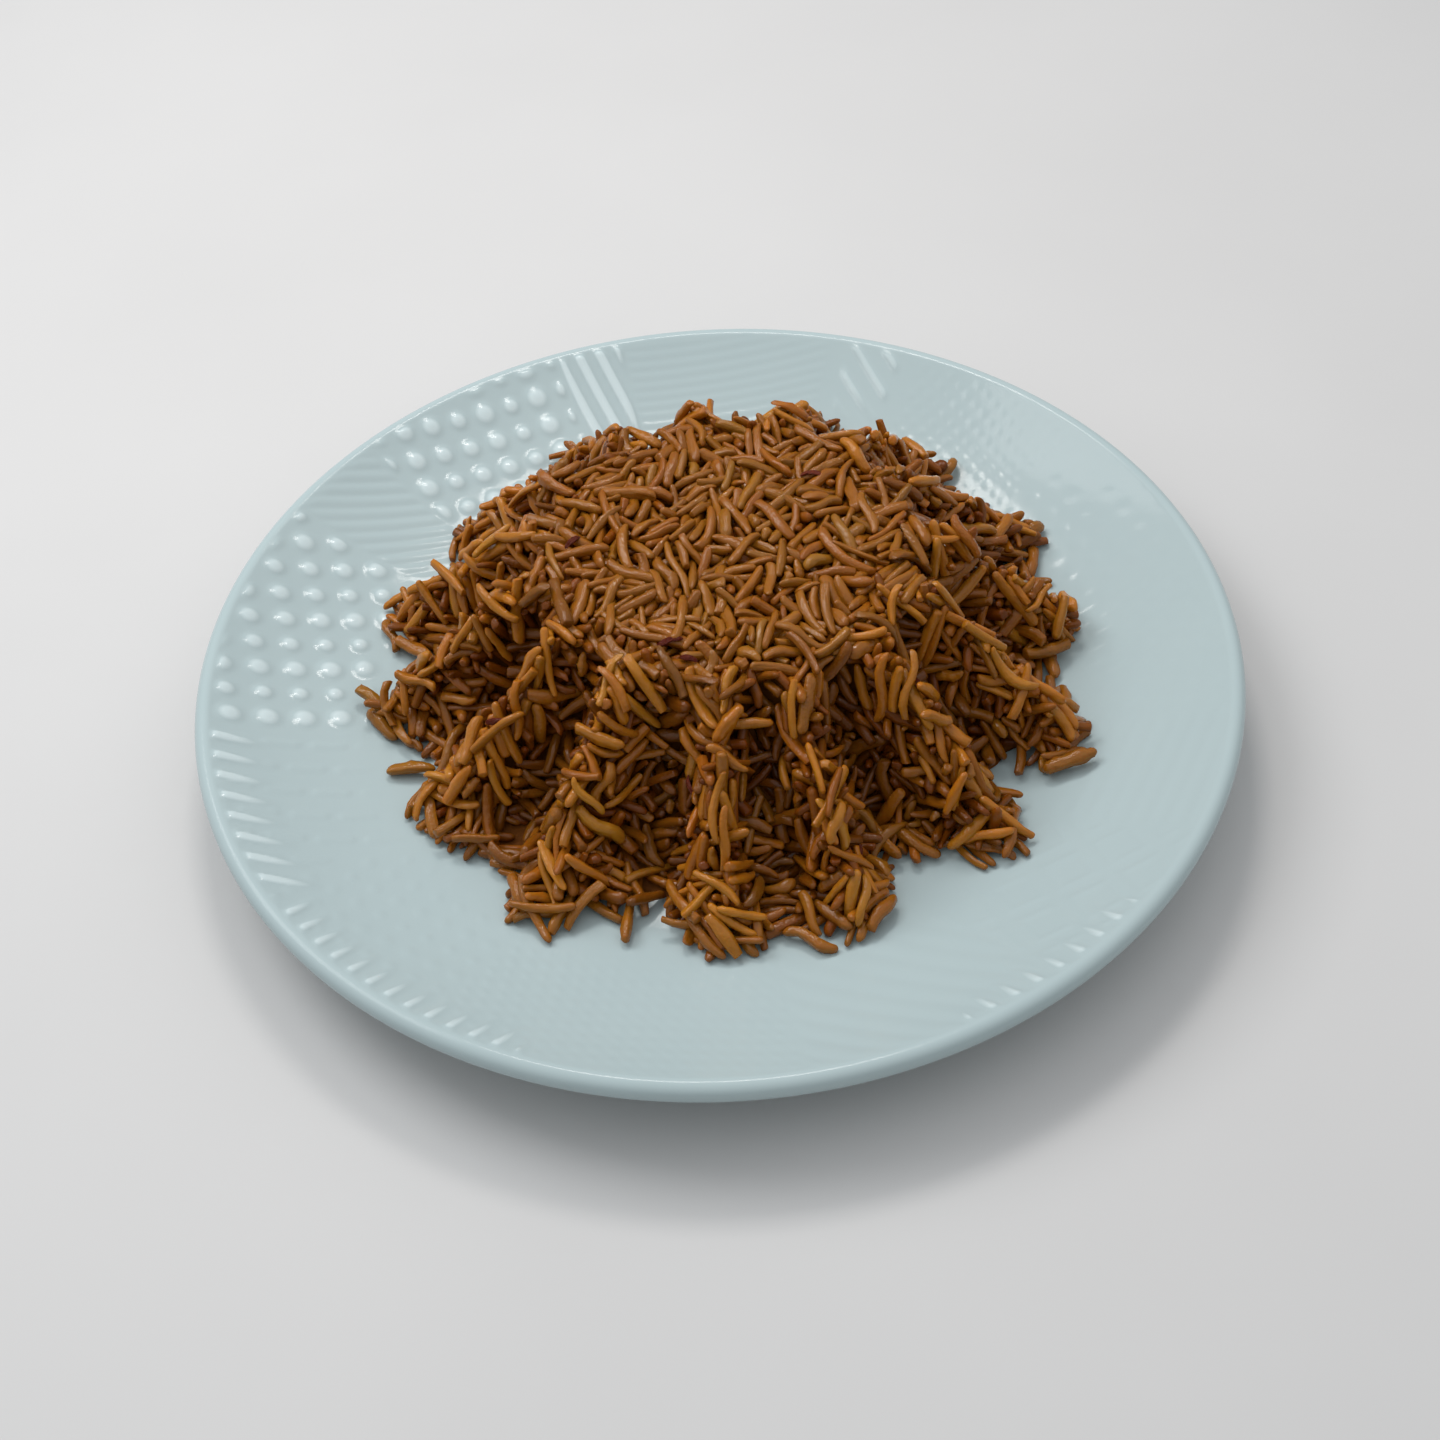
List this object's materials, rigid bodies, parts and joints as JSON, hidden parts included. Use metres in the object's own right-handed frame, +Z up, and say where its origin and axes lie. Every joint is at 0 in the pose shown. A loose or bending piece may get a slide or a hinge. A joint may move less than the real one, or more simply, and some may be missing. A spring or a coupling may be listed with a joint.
{
  "type": "plate of sayadieh rice",
  "caption": "Mound of long-grain brown rice turned out of a fluted mould, standing on a round shallow plate that has a foot ring and a full round lip.",
  "frame": {"origin": "middle of the plate's foot ring, on the table", "axes": "+Z up; the pictured side of the dish faces -Y, and +X is to its right"},
  "size_m": [0.26, 0.26, 0.0524],
  "materials": {
    "plate": "glossy glazed porcelain, pale blue-grey",
    "rice": "moist cooked rice, golden brown"
  },
  "bodies": {
    "root": {"plate": "plate", "rice": "rice"}
  },
  "joints": []
}
